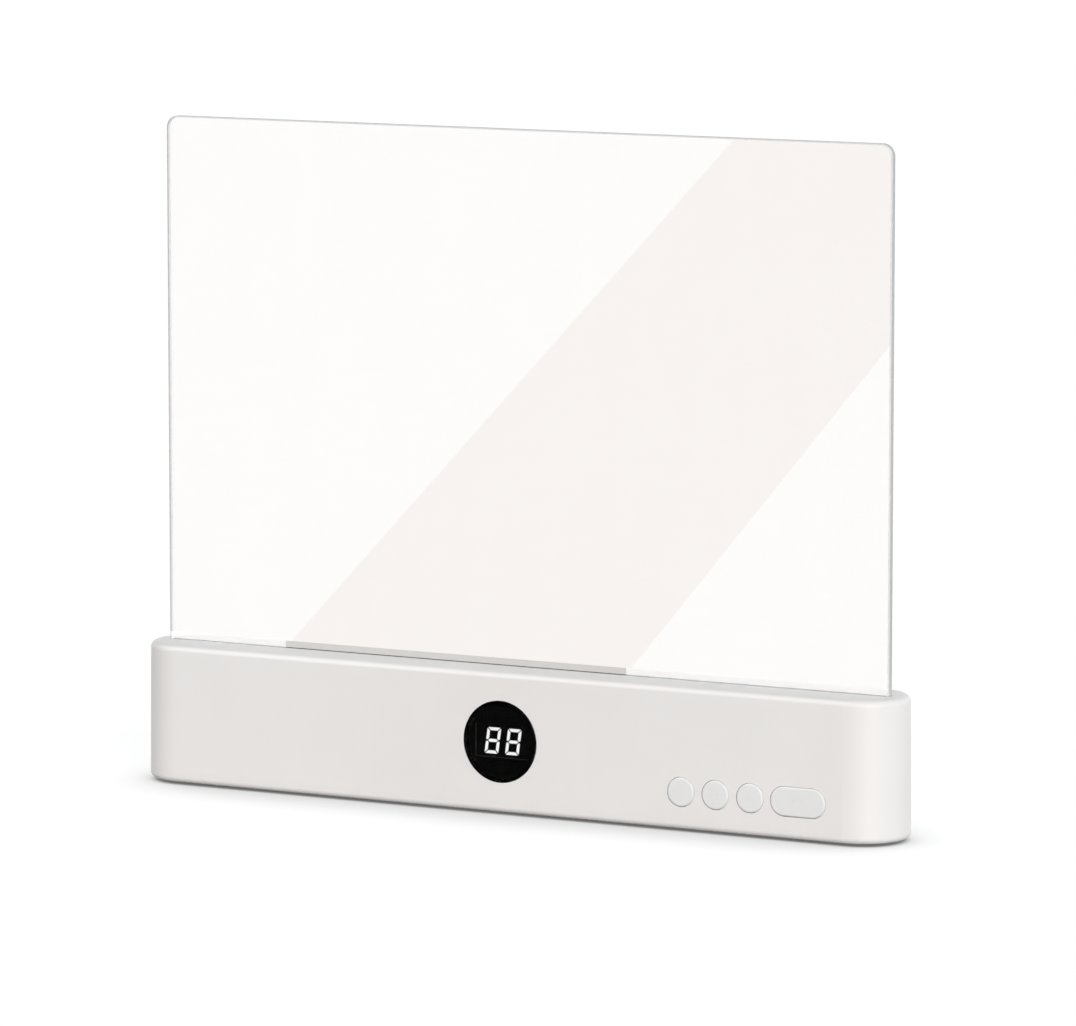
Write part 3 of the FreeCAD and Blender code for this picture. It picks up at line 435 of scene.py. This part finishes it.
def lit_segment():
    material, graph, shader = principled("lit_segment")
    cloud = graph.noise(900.0, detail=2.0)
    colour = graph.blend(graph.spread(cloud, 0, 1), (0.93, 0.93, 0.92), (1.0, 0.99, 0.97))
    graph.link(colour, shader.inputs["Base Color"])
    graph.link(colour, shader.inputs["Emission Color"])
    shader.inputs["Emission Strength"].default_value = 10.0
    shader.inputs["Roughness"].default_value = 0.6
    return material


def foam_with_painted_lit_walls():
    """Black foam whose sideways faces, the walls of its opening, are painted pale grey: a painted
    highlight where the walls catch light.
    """
    material, graph, shader = principled("mask_foam")
    facing = graph.node("ShaderNodeSeparateXYZ")
    graph.link(graph.node("ShaderNodeNewGeometry").outputs["Normal"], facing.inputs[0])
    faces_front_or_back = graph.math("ABSOLUTE", facing.outputs["Y"], 0.0)
    # painted highlight: faces that look sideways are pale grey, faces that look front or back keep the
    # foam's black
    graph.link(graph.blend(faces_front_or_back, (0.6, 0.6, 0.6), (0.02, 0.02, 0.022)), shader.inputs["Base Color"])
    cells = graph.noise(1800.0, detail=3.0)
    graph.link(graph.spread(cells, 0.82, 0.95), shader.inputs["Roughness"])
    graph.link(graph.bump(cells, 0.4, 0.0001), shader.inputs["Normal"])
    return material


def circuit_board(name, mask, track):
    """Solder mask over copper tracks."""
    material, graph, shader = principled(name)
    place = graph.node("ShaderNodeTexCoord").outputs["Object"]
    bricks = graph.node("ShaderNodeTexBrick")
    bricks.inputs["Scale"].default_value = 260.0
    bricks.inputs["Mortar Size"].default_value = 0.06
    bricks.inputs["Color1"].default_value = (0, 0, 0, 1)
    bricks.inputs["Color2"].default_value = (0, 0, 0, 1)
    bricks.inputs["Mortar"].default_value = (1, 1, 1, 1)
    graph.link(place, bricks.inputs["Vector"])
    graph.link(graph.blend(bricks.outputs["Fac"], mask, track), shader.inputs["Base Color"])
    weave = graph.noise(1500.0)
    graph.link(graph.spread(weave, 0.25, 0.4), shader.inputs["Roughness"])
    graph.link(graph.bump(bricks.outputs["Fac"], 0.3, 0.00002), shader.inputs["Normal"])
    return material


def laminate():
    """Crinkled aluminium laminate of the pouch cell."""
    material, graph, shader = principled("pouch_laminate")
    crinkle = graph.noise(260.0, detail=4.0, roughness=0.7)
    graph.link(graph.blend(graph.spread(crinkle, 0, 1), (0.55, 0.56, 0.58), (0.75, 0.76, 0.78)),
               shader.inputs["Base Color"])
    graph.link(graph.spread(crinkle, 0.28, 0.5), shader.inputs["Roughness"])
    graph.link(graph.bump(crinkle, 0.5, 0.0001), shader.inputs["Normal"])
    shader.inputs["Metallic"].default_value = 0.85
    return material


def paint(names, material):
    """Give CAD nodes a material."""
    for name in names:
        slots = nodes[name].data.materials
        slots.clear()
        slots.append(material)


def named(start="", end=""):
    """The CAD nodes whose names start or end so."""
    return [name for name in nodes if name.startswith(start) and name.endswith(end)]


def finish_base():
    """Shell, buttons, slot, feet and fasteners."""
    shell = moulded("white_shell", (0.81, 0.793, 0.776))
    paint(["housing", "bottom_cover"], shell)
    cap = moulded("white_cap", (0.78, 0.785, 0.775), roughness=0.38, texture=2600.0)
    paint([name + "_button" for name in BUTTONS], cap)
    paint(["panel_holder"], moulded("holder_plastic", (0.78, 0.78, 0.77), roughness=0.5))
    felt = moulded("flocked_felt", (0.09, 0.09, 0.095), roughness=0.95, texture=3000.0, depth=0.0001)
    paint(["slot_liner"], felt)
    rubber = moulded("silicone_rubber", (0.42, 0.42, 0.42), roughness=0.7, texture=1200.0)
    paint(named(start="foot_"), rubber)
    paint(named(end="_screws"), metal("zinc_plate", (0.62, 0.62, 0.65)))


def finish_display():
    """Window, mask, digits and the module that holds them."""
    paint(["display_window"], smoked_acrylic())
    paint(["display_mask"], foam_with_painted_lit_walls())
    paint(["display_module"], moulded("module_black", (0.03, 0.031, 0.034), roughness=0.55))
    paint(["left_digit_segments", "right_digit_segments"], lit_segment())
    paint(["display_pins"], metal("tin", (0.78, 0.78, 0.77), roughness=0.35))


def finish_boards():
    """Circuit boards and what is soldered to them."""
    paint(["led_board"], circuit_board("white_board", (0.82, 0.82, 0.8), (0.74, 0.74, 0.72)))
    paint(["led_chips"], moulded("phosphor", (0.9, 0.78, 0.25), roughness=0.35))
    green = circuit_board("green_board", (0.01, 0.12, 0.04), (0.03, 0.22, 0.07))
    paint(["control_board", "power_board"], green)
    blue = circuit_board("blue_board", (0.01, 0.06, 0.2), (0.03, 0.12, 0.32))
    paint(["battery_protection_board"], blue)
    paint(["microcontroller", "charge_chip"], moulded("epoxy", (0.02, 0.02, 0.022), roughness=0.6))
    paint(["boost_inductor"], moulded("ferrite", (0.06, 0.058, 0.055), roughness=0.65))
    ceramic = moulded("ceramic", (0.42, 0.3, 0.18), roughness=0.4)
    paint(["control_board_chip_parts", "power_board_capacitors"], ceramic)
    paint(named(end="_connector"), moulded("nylon", (0.8, 0.77, 0.68), roughness=0.45))
    paint(["usb_shell"], metal("drawn_steel", (0.7, 0.7, 0.7), stretch=(1, 0.1, 1)))
    paint(["usb_tongue"], moulded("connector_black", (0.02, 0.02, 0.022), roughness=0.5))
    case = moulded("switch_case", (0.03, 0.03, 0.03), roughness=0.5)
    paint([name + "_switch" for name in BUTTONS], case)
    plunger = moulded("switch_plunger", (0.5, 0.06, 0.03), roughness=0.4)
    paint([name + "_switch_plunger" for name in BUTTONS], plunger)


def finish_cell_and_leads():
    """The rechargeable cell, its pad and every wire."""
    paint(["battery_cell"], laminate())
    foam = moulded("foam", (0.03, 0.03, 0.03), roughness=0.95, texture=1600.0, depth=0.0002)
    paint(["battery_pad"], foam)
    for colour, rgb in {"red": (0.5, 0.02, 0.015), "black": (0.015, 0.015, 0.015),
                        "blue": (0.02, 0.06, 0.45)}.items():
        paint(named(end="lead_" + colour), moulded("pvc_" + colour, rgb, roughness=0.4))


# ---------------------------------------------------------------- pieces

def rounded_outline(left, low, right, high, low_radius, high_radius):
    """Corner arcs of a rectangle in X and Z, anticlockwise from the bottom left."""
    points = []
    corners = [
        (left + low_radius, low + low_radius, low_radius, 180),
        (right - low_radius, low + low_radius, low_radius, 270),
        (right - high_radius, high - high_radius, high_radius, 0),
        (left + high_radius, high - high_radius, high_radius, 90),
    ]
    for x, z, radius, start in corners:
        for i in range(CORNER_STEPS + 1):
            angle = math.radians(start + 90 * i / CORNER_STEPS)
            points.append((x + radius * math.cos(angle), z + radius * math.sin(angle)))
    return points


def sheet_piece():
    """The clear sheet as one closed mesh: polished faces, eased corners and cut edges."""
    low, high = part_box("acrylic_panel")
    rings = []
    for y, inset in ((low.y, SHEET_BEVEL), (low.y + SHEET_BEVEL, 0.0),
                     (high.y - SHEET_BEVEL, 0.0), (high.y, SHEET_BEVEL)):
        outline = rounded_outline(
            low.x + inset, low.z + inset, high.x - inset, high.z - inset,
            SHEET_FOOT_CORNER - inset, SHEET_CORNER - inset)
        rings.append([(x, y, z) for x, z in outline])
    mesh = bpy.data.meshes.new("sheet")
    build = bmesh.new()
    loops = [[build.verts.new(point) for point in ring] for ring in rings]
    count = len(loops[0])
    build.faces.new(loops[0])
    build.faces.new(loops[-1][::-1])
    for level, (near, far) in enumerate(zip(loops, loops[1:])):
        for i in range(count):
            j = (i + 1) % count
            face = build.faces.new((near[i], far[i], far[j], near[j]))
            face.material_index = CUT_EDGE if level == 1 else BEVELLED_EDGE
    bmesh.ops.recalc_face_normals(build, faces=build.faces)
    build.to_mesh(mesh)
    build.free()
    mesh.materials.append(clear_acrylic())
    mesh.materials.append(cut_acrylic("bevelled_acrylic", (0.66, 0.67, 0.67), (0.72, 0.73, 0.73)))
    mesh.materials.append(cut_acrylic("cut_acrylic", (0.49, 0.50, 0.505), (0.55, 0.56, 0.565)))
    piece = bpy.data.objects.new("clear_sheet", mesh)
    bpy.context.scene.collection.objects.link(piece)
    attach(piece, "panel")
    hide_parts("acrylic_panel")
    piece.visible_shadow = False
    piece.visible_diffuse = False


def main():
    view = camera()
    world()
    lights()
    floor()
    reflected_window(view)
    foot_glare()
    bpy.context.scene.view_settings.view_transform = "Standard"
    finish_base()
    finish_display()
    finish_boards()
    finish_cell_and_leads()
    sheet_piece()


main()
